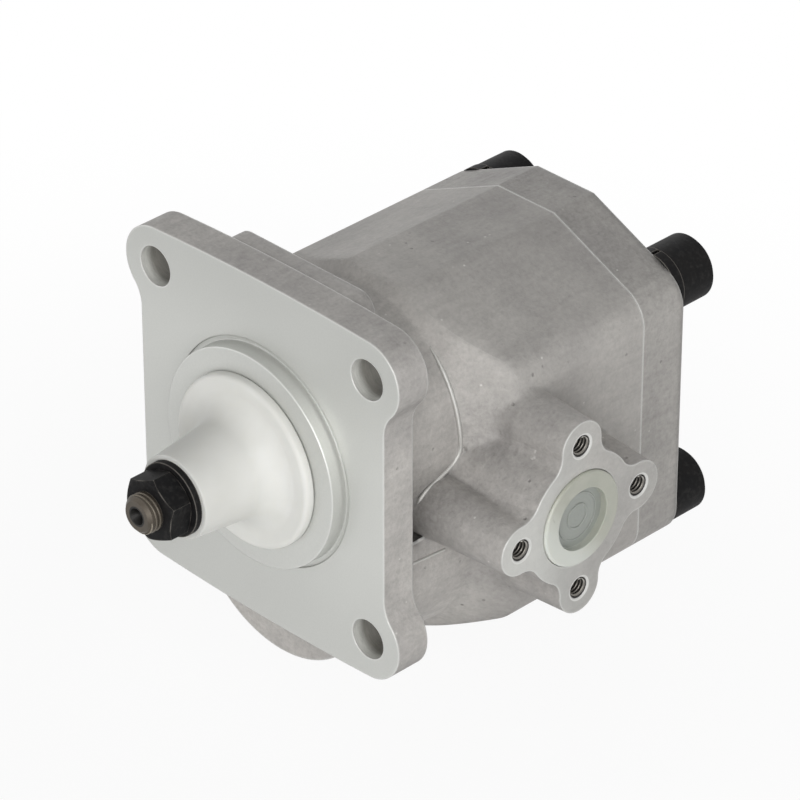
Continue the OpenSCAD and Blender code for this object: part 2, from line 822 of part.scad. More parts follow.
pump_body();
rear_cover();
cover_screws();
cover_washers();
dowel_pins();
cover_seal();
front_bearing_block();
rear_bearing_block();
front_drive_bush();
front_idler_bush();
rear_drive_bush();
rear_idler_bush();
front_block_seal();
rear_block_seal();
front_backup_ring();
rear_backup_ring();
shaft_seal();
seal_spring();
seal_snap_ring();
drive_shaft();
woodruff_key();
shaft_cap();
shaft_washer();
shaft_nut();
idler_gear();
inlet_plug();
outlet_plug();
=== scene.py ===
"""Looks of the hydraulic gear pump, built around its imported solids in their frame, in metres."""

import json
import math

import bpy
import numpy as np
from mathutils import Matrix, Vector
from mathutils.bvhtree import BVHTree


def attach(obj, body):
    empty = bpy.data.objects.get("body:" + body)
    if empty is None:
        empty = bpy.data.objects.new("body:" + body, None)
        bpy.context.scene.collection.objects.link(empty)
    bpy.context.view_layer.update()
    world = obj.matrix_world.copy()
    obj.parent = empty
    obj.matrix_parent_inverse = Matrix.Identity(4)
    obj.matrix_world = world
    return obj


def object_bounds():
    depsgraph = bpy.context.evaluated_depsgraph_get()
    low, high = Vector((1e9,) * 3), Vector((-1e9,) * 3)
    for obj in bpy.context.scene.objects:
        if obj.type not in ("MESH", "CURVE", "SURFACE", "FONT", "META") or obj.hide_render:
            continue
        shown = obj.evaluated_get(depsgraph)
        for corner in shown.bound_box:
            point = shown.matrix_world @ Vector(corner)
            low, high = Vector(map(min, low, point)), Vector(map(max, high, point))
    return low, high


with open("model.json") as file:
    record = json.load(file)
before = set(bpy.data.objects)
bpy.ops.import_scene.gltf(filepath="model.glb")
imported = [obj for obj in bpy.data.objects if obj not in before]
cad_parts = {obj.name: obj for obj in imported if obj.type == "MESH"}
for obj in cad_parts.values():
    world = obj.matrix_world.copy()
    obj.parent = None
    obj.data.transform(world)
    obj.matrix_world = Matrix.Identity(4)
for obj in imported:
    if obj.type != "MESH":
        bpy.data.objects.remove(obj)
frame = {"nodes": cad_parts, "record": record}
cad_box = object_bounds()
scene = bpy.context.scene
MM = 0.001

# Places on the pump that finishes and small pieces are set out from, in millimetres
FLANGE_HOLE = 38.0
FLANGE_HOLE_R = 5.5
FLANGE_T = 10.0
PILOT_R = 30.0
NECK_R = 33.0
NECK_END = 37.0
IDLER_Z = -30.0
GEAR_BORE_R = 17.65
LOBE_FRONT = 5.3
LOBE_R = 32.2
LOBE_DRAFT = math.tan(math.radians(5.4))
BOSS_FOOT = 43.0
PORT_FACE = 61.0
PORT_Y = 52.0
PORT_Z = -15.0
PORT_SCREW_R = 21.2
PORT_TAP_R = 2.5
PORT_TAP_DEPTH = 15.0
PORT_PITCH = 1.0
PLUG_FACE = 61.8
PLUG_RECESS_R = 8.7
PLUG_RECESS_T = 2.0
PLUG_RINGS = ((3.4, 0.3), (6.6, 0.22))
SCREW_X = 30.7
SCREW_Z = 32.6
CASE_MID = -16.2
STUD_R = 5.0
STUD_TIP = -41.9
STUD_START = -28.0
STUD_PITCH = 1.25
STUD_HOLE_R = 2.6
STUD_HOLE_DEPTH = 4.0
NUT_FRONT = -37.9
JOINT_Y = 94.0
DOWEL_X = 30.0

# Points of the flash line that runs down from the neck, and where the lobe's line has its points
NECK_SEAM_TAIL = ((33.1, 37.1, -0.9), (32.8, 34.9, -4.2), (32.7, 29.7, -6.5), (32.6, 25.5, -8.3),
                  (32.2, 23.0, -10.9))
LOBE_SEAM_Y = (11.0, 14.0, 17.0, 20.0, 23.0, 26.0, 29.0, 31.0)
LOBE_SEAM_UP = 3.0

# Stretches over which painted light and shade on the casting and the cap fade in, from none to
# full; the front stretch also sets where the casting's grain is stronger
FRONT_Y = (46.0, 36.0)
POCKET_X, POCKET_Y = (47.0, 35.0), (38.0, 24.0)
POCKET_FLOOR, POCKET_ROOF = (-24.0, -17.0), (2.0, -6.0)
CROWN_START, CROWN_END, CROWN_Z = (36.0, 38.0), (52.0, 46.0), (16.0, 28.0)
NOSE_Y, NOSE_Z = (36.0, 18.0), (-28.0, -36.0)
FACE_TOP, FACE_FOOT, FACE_RIGHT = (18.0, 50.0), (-10.0, -42.0), (-10.0, 40.0)
CAP_Y = (-26.0, -8.0)

NODE_SAMPLES = 8


def linear(red, green, blue):
    """Scene colour of a display colour given from 0 to 255."""
    def one(c):
        c = c/255
        return c/12.92 if c <= 0.04045 else ((c + 0.055)/1.055)**2.4
    return (one(red), one(green), one(blue), 1.0)


WHITE = (1.0, 1.0, 1.0, 1.0)
FLOOR_GREY = (0.86, 0.86, 0.86, 1.0)
CAST_GREY, CAST_PALE = linear(162, 159, 156), linear(177, 174, 170)
CAST_SPECK, CAST_EDGE_WEAR_AND_SHEEN = linear(222, 221, 217), linear(222, 222, 219)
CAST_GROUND, CAST_SEAM = linear(203, 204, 200), linear(196, 195, 191)
BORE_MOUTH_LIT, BORE_WALL_SHADE = linear(204, 204, 199), linear(133, 131, 125)
TAP_LIP_CUT_AND_GLINT, TAP_PAINTED_SHADE = linear(224, 224, 221), linear(46, 44, 42)
BLACK_DEEP, BLACK_SOFT = linear(19, 19, 20), linear(27, 26, 26)
BLACK_DUSTY, BLACK_EDGE_WEAR_AND_GLINT = linear(50, 49, 48), linear(128, 124, 118)
OIL_FILM, OIL_CREST_WEAR_AND_GLINT, STUD_HOLE_SHADE = linear(80, 73, 64), linear(150, 142, 128), linear(22, 20, 18)
CAP_WHITE, CAP_PALE = linear(218, 218, 213), linear(223, 223, 219)
PLUG_RIM, PLUG_RIM_DULL = linear(177, 178, 166), linear(168, 170, 158)
PLUG_LIT, PLUG_THIN = linear(214, 217, 210), linear(150, 154, 148)
RUBBER_DARK, RUBBER_PALE = linear(33, 33, 33), linear(47, 46, 45)
RING_WHITE, RING_DULL = linear(226, 226, 219), linear(214, 213, 204)


class Value:
    """What a node's socket gives. Arithmetic on it adds Math nodes to the same tree."""

    def __init__(self, tree, socket):
        self.tree = tree
        self.socket = socket

    def math(self, operation, *terms):
        return self.tree.node("ShaderNodeMath", {"operation": operation}, dict(enumerate(terms)))

    def __add__(self, other):
        return self.math("ADD", self, other)

    def __sub__(self, other):
        return self.math("SUBTRACT", self, other)

    def __rsub__(self, other):
        return self.math("SUBTRACT", other, self)

    def __mul__(self, other):
        return self.math("MULTIPLY", self, other)

    def __abs__(self):
        return self.math("ABSOLUTE", self)

    def __pow__(self, other):
        return self.math("POWER", self, other)

    __radd__ = __add__
    __rmul__ = __mul__

    def least(self, other):
        return self.math("MINIMUM", self, other)

    def most(self, other):
        return self.math("MAXIMUM", self, other)

    def sine(self):
        return self.math("SINE", self)

    def hypot(self, other):
        return (self*self + other*other)**0.5

    def band(self, low, high):
        """Rises smoothly from 0 at low to 1 at high, or falls where low is the larger."""
        flip = low > high
        low, high = sorted((low, high))
        inputs = {"Value": self, "From Min": low, "From Max": high,
                  "To Min": 1.0 if flip else 0.0, "To Max": 0.0 if flip else 1.0}
        return self.tree.node("ShaderNodeMapRange", {"interpolation_type": "SMOOTHSTEP"}, inputs)


class Tree:
    """A node tree that is filled one node at a time."""

    def __init__(self, graph):
        self.graph = graph
        self.graph.nodes.clear()

    def node(self, kind, settings, inputs, output=0):
        made = self.graph.nodes.new(kind)
        for name, setting in settings.items():
            setattr(made, name, setting)
        for name, value in inputs.items():
            self.put(made.inputs[name], value)
        return Value(self, made.outputs[output])

    def put(self, socket, value):
        if isinstance(value, Value):
            self.graph.links.new(value.socket, socket)
        else:
            socket.default_value = value

    def show(self, kind, shader):
        """Makes a shader the surface that the tree's output node shows."""
        out = self.graph.nodes.new(kind)
        self.graph.links.new(shader, out.inputs["Surface"])


class Finish(Tree):
    """A procedural material around one Principled shader, with places in millimetres."""

    def __init__(self, name, **uniform):
        self.material = bpy.data.materials.new(name)
        self.material.use_nodes = True
        super().__init__(self.material.node_tree)
        self.shader = self.graph.nodes.new("ShaderNodeBsdfPrincipled")
        self.show("ShaderNodeOutputMaterial", self.shader.outputs[0])
        for socket, value in uniform.items():
            self.set(socket.replace("_", " "), value)
        spot = self.node("ShaderNodeTexCoord", {}, {}, "Object")
        self.place = self.node("ShaderNodeVectorMath", {"operation": "SCALE"},
                               {0: spot, "Scale": 1/MM})
        self.x, self.y, self.z = (self.node("ShaderNodeSeparateXYZ", {}, {0: self.place}, axis)
                                  for axis in "XYZ")

    def set(self, socket, value):
        self.put(self.shader.inputs[socket], value)

    def stretched(self, x, y, z):
        return self.node("ShaderNodeVectorMath", {"operation": "MULTIPLY"},
                         {0: self.place, 1: (x, y, z)})

    def noise(self, size, detail=3.0, rough=0.55, place=None):
        inputs = {"Vector": place or self.place, "Scale": 1/size,
                  "Detail": detail, "Roughness": rough}
        return self.node("ShaderNodeTexNoise", {}, inputs, "Fac")

    def dots(self, size, full, none, place=None):
        """Round spots, one to a cell of that size, that fade between two shares of the cell."""
        inputs = {"Vector": place or self.place, "Scale": 1/size}
        return self.node("ShaderNodeTexVoronoi", {}, inputs, "Distance").band(none, full)

    def normal(self, axis):
        way = self.node("ShaderNodeTexCoord", {}, {}, "Normal")
        return self.node("ShaderNodeSeparateXYZ", {}, {0: way}, axis)

    def edges(self, width):
        """1 on outer edges, fading over that width."""
        settings = {"inside": True, "only_local": True, "samples": NODE_SAMPLES}
        near = self.node("ShaderNodeAmbientOcclusion", settings, {"Distance": width*MM}, "AO")
        return (1 - near).band(0.12, 0.5)

    def corners(self, width):
        """1 in inner corners, fading over that width; finishes darken by it as painted shade."""
        settings = {"samples": NODE_SAMPLES}
        near = self.node("ShaderNodeAmbientOcclusion", settings, {"Distance": width*MM}, "AO")
        return (1 - near).band(0.1, 0.75)

    def rounded(self, radius):
        """The surface's direction, with its edges rounded."""
        return self.node("ShaderNodeBevel", {"samples": NODE_SAMPLES}, {"Radius": radius*MM})

    def mixed(self, share, under, over):
        inputs = {0: share, 6: under, 7: over}
        return self.node("ShaderNodeMix", {"data_type": "RGBA"}, inputs, 2)

    def shaded(self, colour, light):
        """The colour made lighter or darker by a value about 1."""
        grey = self.node("ShaderNodeCombineColor", {}, {0: light, 1: light, 2: light})
        settings = {"data_type": "RGBA", "blend_type": "MULTIPLY"}
        return self.node("ShaderNodeMix", settings, {0: 1.0, 6: colour, 7: grey}, 2)

    def relief(self, height, depth, base=None):
        """Bumps of that depth in millimetres, on a rounded surface where one is given."""
        inputs = {"Strength": 1.0, "Distance": depth*MM, "Height": height}
        if base is not None:
            inputs["Normal"] = base
        self.set("Normal", self.node("ShaderNodeBump", {}, inputs))


def boss_sides(f):
    """Raw sides of the port bosses, between the case and the port faces."""
    reach = abs(f.x)
    return reach.band(BOSS_FOOT, BOSS_FOOT + 3.0)*reach.band(PORT_FACE - 0.05, PORT_FACE - 0.15)


def painted_cast_light(f, front, boss):
    """Painted light and shade on the casting: paler in front, on the bosses and low near the
    flange, darker on slopes, under the bosses and in its shadowed pocket.
    """
    behind_flange = f.y.band(FLANGE_T + 0.5, FLANGE_T + 2.0)
    slope = f.normal("Z").band(0.5, 0.75)
    under = boss*f.normal("Z").band(-0.2, -0.7)
    pocket = f.y.band(*POCKET_Y)*behind_flange*abs(f.x).band(*POCKET_X)
    pocket = pocket*f.z.band(*POCKET_FLOOR)*f.z.band(*POCKET_ROOF)
    # Painted shade low on the shoulder and painted light high on it
    crown = f.y.band(*CROWN_START)*f.y.band(*CROWN_END)*(f.z.band(*CROWN_Z)*0.16 - 0.07)
    nose = f.y.band(*NOSE_Y)*behind_flange*f.z.band(*NOSE_Z)
    paler = front*0.12 + boss*0.05 + crown + nose*0.15
    return paler - slope*0.08 - pocket*0.24 - under*0.24


def cast_alloy(name, machined=None, sharp=None, holes=None, strength=1.0, grit=1.0, wear_and_sheen=True):
    """Grey cast alloy with a fine grain, pits and bright specks, paler machined faces, painted
    light and shade, and edges lighter from wear and a painted highlight.
    """
    f = Finish(name, Specular_IOR_Level=0.4)
    machined = machined(f) if machined else 0.0
    sharp = sharp(f) if sharp else 0.0
    rim = f.edges(width=0.8) if wear_and_sheen else 0.0
    boss = boss_sides(f)
    front = f.y.band(*FRONT_Y).most(boss)
    broad = f.noise(34, detail=2.0)
    cloud = f.noise(9, detail=4.0, rough=0.6)
    mottle = f.noise(1.9, rough=0.6)
    grain = f.noise(0.9, rough=0.65)
    flow = f.noise(1.6, rough=0.6, place=f.stretched(1.0, 0.12, 1.0))
    pits = f.dots(5.2, full=0.05, none=0.11)*f.noise(18, detail=1.0).band(0.5, 0.62)
    specks = f.dots(4.1, full=0.04, none=0.1, place=f.stretched(1.0, 0.9, 1.1))
    specks = specks*f.noise(15, detail=1.0).band(0.47, 0.62)

    patches = cloud*0.2 + mottle*0.3 + grain*0.34 + flow*0.22 - 0.53
    # Grain and pits, with inner corners darkened as painted shade
    tone = 1.0 + patches*(1 + front*0.4)*grit - pits*0.3 - f.corners(width=5.0)*0.22
    # Painted light and shade by place on the casting
    tone = tone + painted_cast_light(f, front, boss)
    raw = f.mixed(broad.band(0.35, 0.68), CAST_GREY, CAST_PALE)
    raw = f.mixed(specks*0.6, f.shaded(raw, tone*strength), CAST_SPECK)
    # Painted shade on the ground flange face: darker towards its top and foot, a little lighter to
    # the right
    painted_face_shade = f.z.band(*FACE_TOP).most(f.z.band(*FACE_FOOT)*0.6) - f.x.band(*FACE_RIGHT)*0.25
    cut = 0.93 + broad*0.05 + f.noise(0.5, detail=2.0)*0.1 - painted_face_shade*0.13
    skin = f.mixed(machined, raw, f.shaded(CAST_GROUND, cut))
    # Lighter edges: partly wear, partly a painted highlight
    skin = f.mixed(rim*0.75, skin, CAST_EDGE_WEAR_AND_SHEEN)
    if holes:
        mouth, lip, bore = holes(f)
        marks = f.noise(0.6, rough=0.6, place=f.stretched(0.2, 1.0, 0.2))
        # Bolt-hole walls: painted light near the mouth and painted shade deeper in
        wall = f.mixed(f.y.band(1.2, 4.2), BORE_MOUTH_LIT, BORE_WALL_SHADE)
        skin = f.mixed(bore, skin, f.shaded(wall, 0.7 + marks*0.6))
        # Painted shade in the screw holes, and their lips brightened, partly cut and partly a
        # painted highlight
        skin = f.mixed(mouth, f.mixed(lip*0.8, skin, TAP_LIP_CUT_AND_GLINT), TAP_PAINTED_SHADE)
    f.set("Base Color", skin)
    f.set("Metallic", 0.22 + machined*0.36)
    f.set("Roughness", 0.56 - machined*0.16 + grain*0.1 - rim*0.1)

    height = (grain*0.7 + flow*0.3 + mottle*0.8 + cloud*0.5 - pits*1.2)*(1 - machined*0.9)
    shoulder = f.y.band(NECK_END - 3.0, NECK_END + 4.0)*f.y.band(66.0, 58.0)
    shoulder = shoulder*abs(f.x).band(BOSS_FOOT + 3.0, BOSS_FOOT)
    radius = (3.2 + shoulder*3.0)*(1 - sharp*0.8)
    f.relief(height, depth=0.18, base=f.rounded(radius) if wear_and_sheen else None)
    return f.material


def bolt_bores(f):
    """Walls of the flange's bolt holes."""
    reach = (abs(f.x) - FLANGE_HOLE).hypot(abs(f.z) - FLANGE_HOLE)
    inside = f.y.band(FLANGE_T - 0.3, FLANGE_T - 0.5)*f.y.band(0.3, 0.5)
    return reach.band(FLANGE_HOLE_R + 0.2, FLANGE_HOLE_R + 0.1)*inside


def body_machined(f):
    """Flange and pilot front and, more faintly, the port faces of the casting."""
    front = f.y.band(1.0, 0.7)*f.normal("Y").band(-0.6, -0.9)
    pilot = f.x.hypot(f.z).band(PILOT_R + 0.6, PILOT_R + 0.2)*f.y.band(0.8, 0.5)
    port = abs(f.x).band(PORT_FACE - 0.15, PORT_FACE - 0.05)
    # More of the paler ground finish towards the front of the port faces, as painted light, and
    # more at random
    wear_and_sheen = 0.05 + f.noise(6)*0.3 + f.y.band(PORT_Y + 10.0, PORT_Y - 18.0)*0.5
    return front.most(pilot).most(port*wear_and_sheen)


def body_sharp(f):
    """Where the casting's edges are cut rather than cast."""
    flange = f.y.band(FLANGE_T + 2.5, FLANGE_T + 0.5)
    port = abs(f.x).band(PORT_FACE - 5.0, PORT_FACE - 2.0)
    joint = f.y.band(JOINT_Y - 3.5, JOINT_Y - 1.5)
    return flange.most(port).most(joint)


def cover_sharp(f):
    """The cover's cut edge at its joint with the body."""
    return f.y.band(JOINT_Y + 3.5, JOINT_Y + 1.5)


def body_holes(f):
    """Painted shade in the screw holes of both port faces, their bright countersunk lips, partly
    cut and partly a painted highlight, and the bolt holes.
    """
    across, up = abs(f.y - PORT_Y), abs(f.z - PORT_Z)
    reach = (across - PORT_SCREW_R).hypot(up).least(across.hypot(up - PORT_SCREW_R))
    bottom = PORT_FACE - PORT_TAP_DEPTH
    deep = abs(f.x).band(bottom - 1.0, bottom)
    mouth = reach.band(PORT_TAP_R + 0.55, PORT_TAP_R + 0.4)*deep
    lip = reach.band(PORT_TAP_R + 1.25, PORT_TAP_R + 1.0)*deep
    return mouth, lip, bolt_bores(f)


def black_oxide(name):
    """Oiled blackened steel: nearly black, and lighter on its edges, partly rubbed and partly a
    painted glint.
    """
    f = Finish(name, Specular_IOR_Level=0.11, Metallic=0.0)
    cloud = f.noise(5)
    grain = f.noise(0.5, detail=2.0)
    mottle = f.noise(1.3, rough=0.6)
    skin = f.mixed(cloud.band(0.35, 0.7), BLACK_DEEP, BLACK_SOFT)
    skin = f.mixed(mottle.band(0.45, 0.75)*0.5, skin, BLACK_DUSTY)
    # Lighter edges: partly rubbed, partly a painted glint
    skin = f.mixed(f.edges(width=0.45)*0.75, skin, BLACK_EDGE_WEAR_AND_GLINT)
    f.set("Base Color", skin)
    f.set("Roughness", 0.48 + cloud*0.18 + grain*0.1)
    f.relief(grain*0.4 + cloud*0.3, depth=0.12, base=f.rounded(0.35))
    return f.material


def turned_steel(name, colour, wear_and_sheen, rough, stain_and_shade=None):
    """Turned metal with fine marks round the shaft's axis, edges lighter from wear and a painted
    highlight, and stained, with painted shade in a hole, where a mask says.
    """
    f = Finish(name, Specular_IOR_Level=0.5)
    marks = f.noise(0.05, detail=2.0, rough=0.6, place=f.stretched(0.04, 1.0, 0.04))
    cloud = f.noise(4)
    rim = f.edges(width=0.35)
    skin = f.shaded(colour, 0.8 + cloud*0.3 + marks*0.1)
    # Lighter edges: partly wear, partly a painted highlight
    skin = f.mixed(rim*0.6, skin, wear_and_sheen)
    bare = 0.85 + cloud*0.1
    if stain_and_shade:
        oiled, deep = stain_and_shade(f)
        # Thread crests lighter: partly rubbed, partly a painted glint
        crest = f.shaded(OIL_CREST_WEAR_AND_GLINT, 0.7 + cloud*0.5)
        film = f.mixed(rim*0.8, f.shaded(OIL_FILM, 0.6 + cloud*0.8), crest)
        # Oil film, and painted shade in the centre hole
        skin = f.mixed(oiled, skin, f.mixed(deep, film, STUD_HOLE_SHADE))
        bare = bare - oiled*0.45
    f.set("Base Color", skin)
    f.set("Metallic", bare)
    f.set("Roughness", rough + cloud*0.12 + marks*0.08)
    f.relief(marks*0.4 + cloud*0.2, depth=0.03, base=f.rounded(0.2))
    return f.material


def shaft_stain_and_hole_shade(f):
    """Oily brown film on the threaded end, and painted shade in the centre hole of its tip."""
    end = f.y.band(STUD_START + 2.0, STUD_START)
    bottom = STUD_TIP + STUD_HOLE_DEPTH
    hole = f.x.hypot(f.z).band(STUD_HOLE_R + 0.3, STUD_HOLE_R)*f.y.band(bottom + 1.0, bottom)
    return end, hole


def cap_plastic(name):
    """Soft white moulded cap with a faint satin grain and flow marks, and painted light that makes
    it paler towards its disc.
    """
    f = Finish(name, Specular_IOR_Level=0.4, Subsurface_Weight=0.25,
               Subsurface_Radius=(1.0, 0.95, 0.85), Subsurface_Scale=0.0015)
    cloud = f.noise(14, detail=2.0)
    grain = f.noise(0.35, detail=2.0)
    flow = f.noise(2.5, rough=0.5, place=f.stretched(1.0, 0.15, 1.0))
    skin = f.mixed(cloud.band(0.3, 0.7), CAP_WHITE, CAP_PALE)
    # Painted light paler towards the disc, and painted shade in inner corners
    tone = 0.945 + f.y.band(*CAP_Y)*0.065 + flow*0.03 - f.corners(width=3.0)*0.1
    f.set("Base Color", f.shaded(skin, tone))
    f.set("Roughness", 0.42 + grain*0.12 + flow*0.06)
    f.relief(grain*0.35 + flow*0.3, depth=0.03, base=f.rounded(0.6))
    return f.material


def plug_plastic(name):
    """Milky green-white plug, thinner and greyer in its recess, with painted light on its rim's
    lower front side.
    """
    f = Finish(name, Specular_IOR_Level=0.5, Subsurface_Weight=0.5,
               Subsurface_Radius=(1.0, 1.0, 0.9), Subsurface_Scale=0.002,
               Coat_Roughness=0.2, IOR=1.5)
    across, up = f.y - PORT_Y, f.z - PORT_Z
    reach = across.hypot(up)
    thin = reach.band(PLUG_RECESS_R + 0.1, PLUG_RECESS_R - 0.3)
    cloud = f.noise(5)
    ripples = (reach*5.5).sine()*0.5 + 0.5
    rim = f.mixed(cloud.band(0.35, 0.7), PLUG_RIM, PLUG_RIM_DULL)
    # Painted light on the rim's lower front side
    rim = f.mixed((across + up).band(2.0, -15.0)*0.85, rim, PLUG_LIT)
    skin = f.mixed(thin, rim, PLUG_THIN)
    f.set("Base Color", f.shaded(skin, 0.96 + cloud*0.08))
    f.set("Roughness", 0.24 + cloud*0.12)
    f.set("Coat Weight", 0.2 + cloud*0.2)
    f.relief(ripples*0.25*thin + cloud*0.3, depth=0.08, base=f.rounded(0.4))
    return f.material


def soft_rubber(name):
    """Dull black rubber of the seals."""
    f = Finish(name, Specular_IOR_Level=0.35)
    grain = f.noise(0.4, detail=2.0)
    cloud = f.noise(3, detail=2.0)
    f.set("Base Color", f.mixed(cloud.band(0.35, 0.7), RUBBER_DARK, RUBBER_PALE))
    f.set("Roughness", 0.55 + grain*0.2)
    f.relief(grain, depth=0.05)
    return f.material


def ring_plastic(name):
    """Off-white plastic of the backup rings."""
    f = Finish(name, Specular_IOR_Level=0.4)
    grain = f.noise(0.6, detail=2.0)
    cloud = f.noise(6, detail=2.0)
    f.set("Base Color", f.mixed(cloud.band(0.3, 0.7), RING_WHITE, RING_DULL))
    f.set("Roughness", 0.4 + grain*0.15)
    f.relief(grain, depth=0.04)
    return f.material


def seam_alloy(name):
    """Flash of the casting, lighter than its skin: partly rubbed, partly a painted highlight."""
    f = Finish(name, Specular_IOR_Level=0.4, Metallic=0.45)
    grain = f.noise(0.7, rough=0.7)
    # Lighter than the skin: partly rubbed, partly a painted highlight
    f.set("Base Color", f.shaded(CAST_SEAM, 0.85 + grain*0.3))
    f.set("Roughness", 0.42 + grain*0.15)
    f.relief(grain, depth=0.1)
    return f.material


# Finishes by node, where a node has its own, or else by material slot
finishes = {
    "pump_body": cast_alloy("cast_body", body_machined, body_sharp, body_holes),
    "rear_cover": cast_alloy("cast_cover", sharp=cover_sharp, strength=0.89, grit=1.35),
    "black_oxide": black_oxide("black_oxide"),
    "bright_steel": turned_steel("bright_steel", linear(190, 188, 184), linear(226, 225, 222),
                                 rough=0.25),
    "seal_rubber": soft_rubber("seal_rubber"),
    "block_alloy": turned_steel("block_alloy", linear(200, 199, 194), linear(228, 228, 224),
                                rough=0.36),
    "bush_bronze": turned_steel("bush_bronze", linear(176, 140, 84), linear(216, 184, 124),
                                rough=0.34),
    "ring_plastic": ring_plastic("ring_plastic"),
    "shaft_steel": turned_steel("shaft_steel", linear(150, 147, 141), linear(205, 202, 196),
                                rough=0.34, stain_and_shade=shaft_stain_and_hole_shade),
    "cap_plastic": cap_plastic("cap_plastic"),
    "plug_plastic": plug_plastic("plug_plastic"),
}
for part in frame["record"]["subparts"]:
    finish = finishes.get(part["node"]) or finishes[part["material_slot"]]
    mesh = frame["nodes"][part["node"]].data
    mesh.materials.clear()
    mesh.materials.append(finish)


def piece(name, points, faces, finish, body, slot):
    """A mesh piece from points in millimetres that rides on a body."""
    mesh = bpy.data.meshes.new(name)
    mesh.from_pydata([Vector(p)*MM for p in points], [], faces)
    mesh.update()
    for polygon in mesh.polygons:
        polygon.use_smooth = True
    mesh.materials.append(finish)
    made = bpy.data.objects.new(name, mesh)
    scene.collection.objects.link(made)
    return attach(made, body)


def swept(sections, closed=False):
    """Points and faces of a skin over cross sections that have equal counts of points."""
    count = len(sections[0])
    points = [p for section in sections for p in section]
    faces = []
    runs = len(sections) if closed else len(sections) - 1
    for i in range(runs):
        a, b = i*count, (i + 1) % len(sections)*count
        for k in range(count):
            n = (k + 1) % count
            faces.append((a + k, a + n, b + n, b + k))
    if not closed:
        faces.append(tuple(range(count - 1, -1, -1)))
        faces.append(tuple(range(len(points) - count, len(points))))
    return points, faces


def joined(parts):
    """One mesh's points and faces from several."""
    points, faces = [], []
    for some_points, some_faces in parts:
        shift = len(points)
        points += some_points
        faces += [tuple(i + shift for i in face) for face in some_faces]
    return points, faces


def placed(part, matrix):
    """A mesh's points and faces, moved by a matrix."""
    points, faces = part
    return [tuple(matrix @ Vector(p)) for p in points], faces


def thread(root, crest, pitch, start, end, steps=40, foot=0.42, land=0.08):
    """A helical ridge about Z from the root radius to the crest radius, fading at both ends.

    Half its foot and half its land are shares of the pitch.
    """
    total = int((end - start)/pitch*steps)
    sections = []
    for i in range(total + 1):
        angle = 2*math.pi*i/steps
        middle = start + pitch*i/steps
        fade = min(1.0, 4*i/steps, 4*(total - i)/steps)
        top = root + (crest - root)*max(fade, 0.05)
        profile = [(root, -foot), (top, -land), (top, land), (root, foot)]
        if crest > root:
            profile.reverse()
        sections.append([(r*math.cos(angle), r*math.sin(angle), middle + s*pitch)
                         for r, s in profile])
    return swept(sections)


def port_threads(side):
    """Threads of the four screw holes in one port face."""
    turn = Matrix.Rotation(math.radians(90*side), 4, "Y")
    ridge = thread(PORT_TAP_R + 0.06, PORT_TAP_R - 0.42, PORT_PITCH, start=-10.0, end=-0.5)
    parts = []
    for quarter in range(4):
        a = math.radians(90*quarter)
        spot = (side*PORT_FACE, PORT_Y + PORT_SCREW_R*math.sin(a),
                PORT_Z + PORT_SCREW_R*math.cos(a))
        parts.append(placed(ridge, Matrix.Translation(spot) @ turn))
    return joined(parts)


def stud_thread():
    """Thread on the shaft's end in front of the nut."""
    ridge = thread(STUD_R - 0.1, STUD_R + 0.32, STUD_PITCH,
                   start=STUD_TIP + 0.9, end=NUT_FRONT - 0.1)
    return placed(ridge, Matrix.Rotation(math.radians(-90), 4, "X"))


def ring(radius, tube, sides=12, steps=72):
    """A low moulded ring about Z."""
    sections = []
    for i in range(steps):
        a = 2*math.pi*i/steps
        section = []
        for k in range(sides):
            b = -2*math.pi*k/sides
            r = radius + tube*math.cos(b)
            section.append((r*math.cos(a), r*math.sin(a), tube*math.sin(b)))
        sections.append(section)
    return swept(sections, closed=True)


def plug_rings(side):
    """Rings on the floor of one plug's recess."""
    spot = (side*(PLUG_FACE - PLUG_RECESS_T), PORT_Y, PORT_Z)
    turn = Matrix.Translation(spot) @ Matrix.Rotation(math.radians(90), 4, "Y")
    return joined([placed(ring(radius, tube), turn) for radius, tube in PLUG_RINGS])


def eased(value, low, high):
    """Rises smoothly from 0 at low to 1 at high, or falls where low is the larger."""
    share = np.clip((value - low)/(high - low), 0.0, 1.0)
    return share*share*(3.0 - 2.0*share)


def cast_share(points):
    """How far a place of the casting is left as cast: not at all in bores and at cut faces."""
    x, y, z = np.abs(points[:, 0]), points[:, 1], points[:, 2]
    share = eased(y, NECK_END + 0.5, NECK_END + 3.5)*eased(y, JOINT_Y - 3.0, JOINT_Y - 7.0)
    share = share*eased(x, BOSS_FOOT + 10.0, BOSS_FOOT + 2.0)
    share = share*eased(x, BOSS_FOOT - 12.0, BOSS_FOOT - 9.0)
    # Across and up from each bore's axis, and the radius that is kept clear about it
    bores = [(x, z, GEAR_BORE_R + 3.4),
             (x, z - IDLER_Z, GEAR_BORE_R + 3.4),
             (y - PORT_Y, z - PORT_Z, 9.0),
             (x - FLANGE_HOLE, np.abs(z) - FLANGE_HOLE, FLANGE_HOLE_R + 0.5),
             (x - SCREW_X, np.abs(z - CASE_MID) - SCREW_Z, 6.2),
             (x - DOWEL_X, z - PORT_Z, 3.4)]
    for across, up, radius in bores:
        share = share*eased(np.hypot(across, up), radius, radius + 2.5)
    return share


